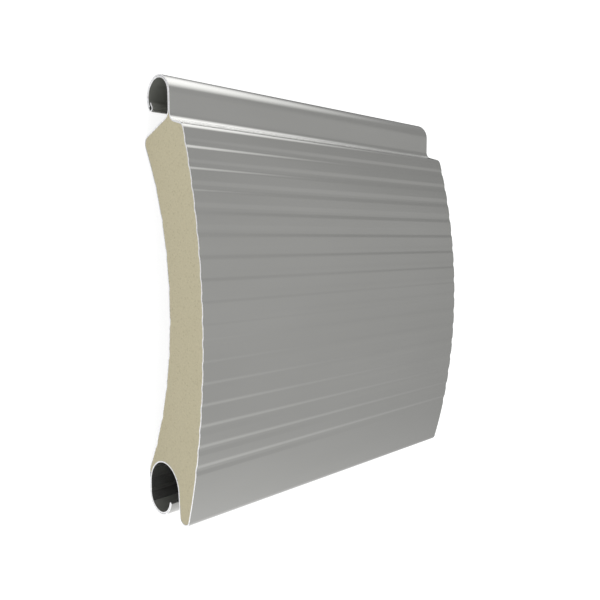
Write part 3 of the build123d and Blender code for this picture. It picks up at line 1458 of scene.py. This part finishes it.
@dataclass
class Studio:
    """Pale floor, soft light and the camera at the photograph's viewing angle, in millimetres."""

    camera_place: Triple = (-111.68, 13.55, 117.4)
    camera_aim: Triple = (-7.61, -1.34, 9.92)
    camera_roll: float = 0.44
    focal_length: float = 39.33
    nearest_seen: float = 10.0
    sky_level: float = 0.74
    dark_side: SkyPatch = SkyPatch((0.985, -0.03, -0.169), -0.8, 0.52, 1.21)
    bright_side: SkyPatch = SkyPatch((-0.227, -0.973, -0.048), 0.72, 0.22, 0.9)
    soft_shade: SkyPatch = SkyPatch((0.0, 1.0, 0.0), -0.14, 0.09, 0.46)
    soft_glow: SkyPatch = SkyPatch((0.0, 1.0, 0.0), 3.0, 0.6, 0.91, (0.05, 0.45))
    far_corner: SkyPatch = SkyPatch((0.826, 0.564, 0.0), -0.09, 0.78, 0.87)
    low_corner: SkyPatch = SkyPatch((0.65, 0.25, -0.715), -0.6, 0.89, 1.0)
    floor_tone: float = 0.7
    floor_seen_tone: float = 0.4
    floor_glow: float = 0.82
    floor_reach: float = 3000.0
    softbox_place: Triple = (0.0, 2000.0, 15.0)
    softbox_radius: float = 1730.0
    softbox_power: float = 60.0

    @staticmethod
    def rays(graph: Graph) -> Tuple[Socket, Socket]:
        """Tell apart the rays that show something to the camera.

        Args:
            graph: nodes of a material or of the world.

        Returns:
            Whether a ray comes from the camera, also through glass, and whether it is glossy.
        """
        path = graph.node("ShaderNodeLightPath", {}).outputs
        seen = graph.math("MAXIMUM", path["Is Camera Ray"], path["Is Transmission Ray"])
        return seen, path["Is Glossy Ray"]

    def build_sky(self) -> None:
        """Light the scene from all round, with a white background."""
        world = bpy.data.worlds.new("studio")
        world.use_nodes = True
        world.node_tree.nodes.clear()
        graph = Graph(world.node_tree)
        towards = graph.node("ShaderNodeTexCoord", {}).outputs["Generated"]
        far = graph.part(towards, "X")
        level: Value = 1.0
        sides = (self.dark_side, self.bright_side, self.far_corner, self.low_corner)
        for patch in (*sides, self.soft_shade, self.soft_glow):
            change = graph.ramp(far, *patch.fade, 0.0, patch.change)
            inside = graph.vector("DOT_PRODUCT", towards, patch.towards)
            level = graph.math("ADD", level, graph.ramp(inside, patch.edge, patch.core, 0.0, change))
        seen, glossy = self.rays(graph)
        dimmed = graph.math("MULTIPLY", level, graph.blend(glossy, self.sky_level, 1.0))
        sky = {"Color": (1, 1, 1, 1), "Strength": graph.blend(seen, dimmed, 1.0)}
        background = graph.node("ShaderNodeBackground", sky)
        graph.node("ShaderNodeOutputWorld", {"Surface": background.outputs[0]})
        bpy.context.scene.world = world

    def build_floor(self) -> None:
        """Lay the floor, pale enough to read as white outside the slat's shadow."""
        material, graph = new_material("studio_floor")
        seen, glossy = self.rays(graph)
        tone = graph.blend(seen, self.floor_tone, self.floor_seen_tone)
        matt = graph.node("ShaderNodeBsdfDiffuse", {"Color": tone})
        glow = graph.node("ShaderNodeEmission", {"Strength": graph.math("MULTIPLY", seen, self.floor_glow)})
        lit = graph.node("ShaderNodeAddShader", {0: matt.outputs[0], 1: glow.outputs[0]})
        clear = graph.node("ShaderNodeBsdfTransparent", {})
        mixed = graph.node("ShaderNodeMixShader", {0: glossy, 1: lit.outputs[0], 2: clear.outputs[0]})
        graph.node("ShaderNodeOutputMaterial", {"Surface": mixed.outputs[0]})
        mesh = bpy.data.meshes.new("floor")
        reach = self.floor_reach * MM
        corners = [(-reach, -reach, 0), (reach, -reach, 0), (reach, reach, 0), (-reach, reach, 0)]
        mesh.from_pydata(corners, [], [(0, 1, 2, 3)])
        mesh.materials.append(material)
        put("floor", mesh)

    def build_softbox(self) -> None:
        """Stand a round softbox beyond the tube."""
        lamp = bpy.data.lights.new("softbox", "AREA")
        lamp.shape = "DISK"
        lamp.size = 2 * self.softbox_radius * MM
        lamp.energy = self.softbox_power
        softbox = put("softbox", lamp)
        softbox.location = Vector(self.softbox_place) * MM
        softbox.rotation_euler = (pi / 2, 0.0, pi)
        softbox.visible_camera = False
        softbox.visible_glossy = False

    def build_camera(self) -> None:
        """Stand the camera where the photograph was taken from."""
        lens = bpy.data.cameras.new("camera")
        lens.lens = self.focal_length
        lens.clip_start = self.nearest_seen * MM
        place = Vector(self.camera_place) * MM
        forward = (Vector(self.camera_aim) * MM - place).normalized()
        across = forward.cross(Vector((0, 1, 0))).normalized()
        level = Matrix((across, across.cross(forward), -forward)).transposed()
        turned = level @ Matrix.Rotation(radians(self.camera_roll), 3, "Z")
        camera = put("camera", lens)
        camera.matrix_world = Matrix.Translation(place) @ turned.to_4x4()
        bpy.context.scene.camera = camera

    def build(self) -> None:
        """Set up the whole studio."""
        bpy.context.scene.view_settings.view_transform = "Standard"
        self.build_sky()
        self.build_floor()
        self.build_softbox()
        self.build_camera()


def main() -> None:
    """Build the studio, the strip and the foam, and log how many faces each piece has."""
    logging.basicConfig(level=logging.INFO, format="%(name)s %(message)s")
    low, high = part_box(Node.SHEET.value)
    length = high[0] - low[0]
    section = SlatSection()
    effects = EffectGroups(fine_grain_group(), saw_marks_group())
    Studio().build()
    linings = [
        Lining("Bore", section.bore, reach=1.2, least_rise=-2.0, coat=DullShadedCoat()),
        Lining("Hook", section.hook, reach=0.05, least_rise=0.6, coat=HookShadedCoat()),
    ]
    FormedStrip(section, CoatedAluminium(), linings, CutAluminium(), length).build(effects)
    FoamBlock(section, RigidFoam(), length).build(effects)


if __name__ == "__main__":
    main()
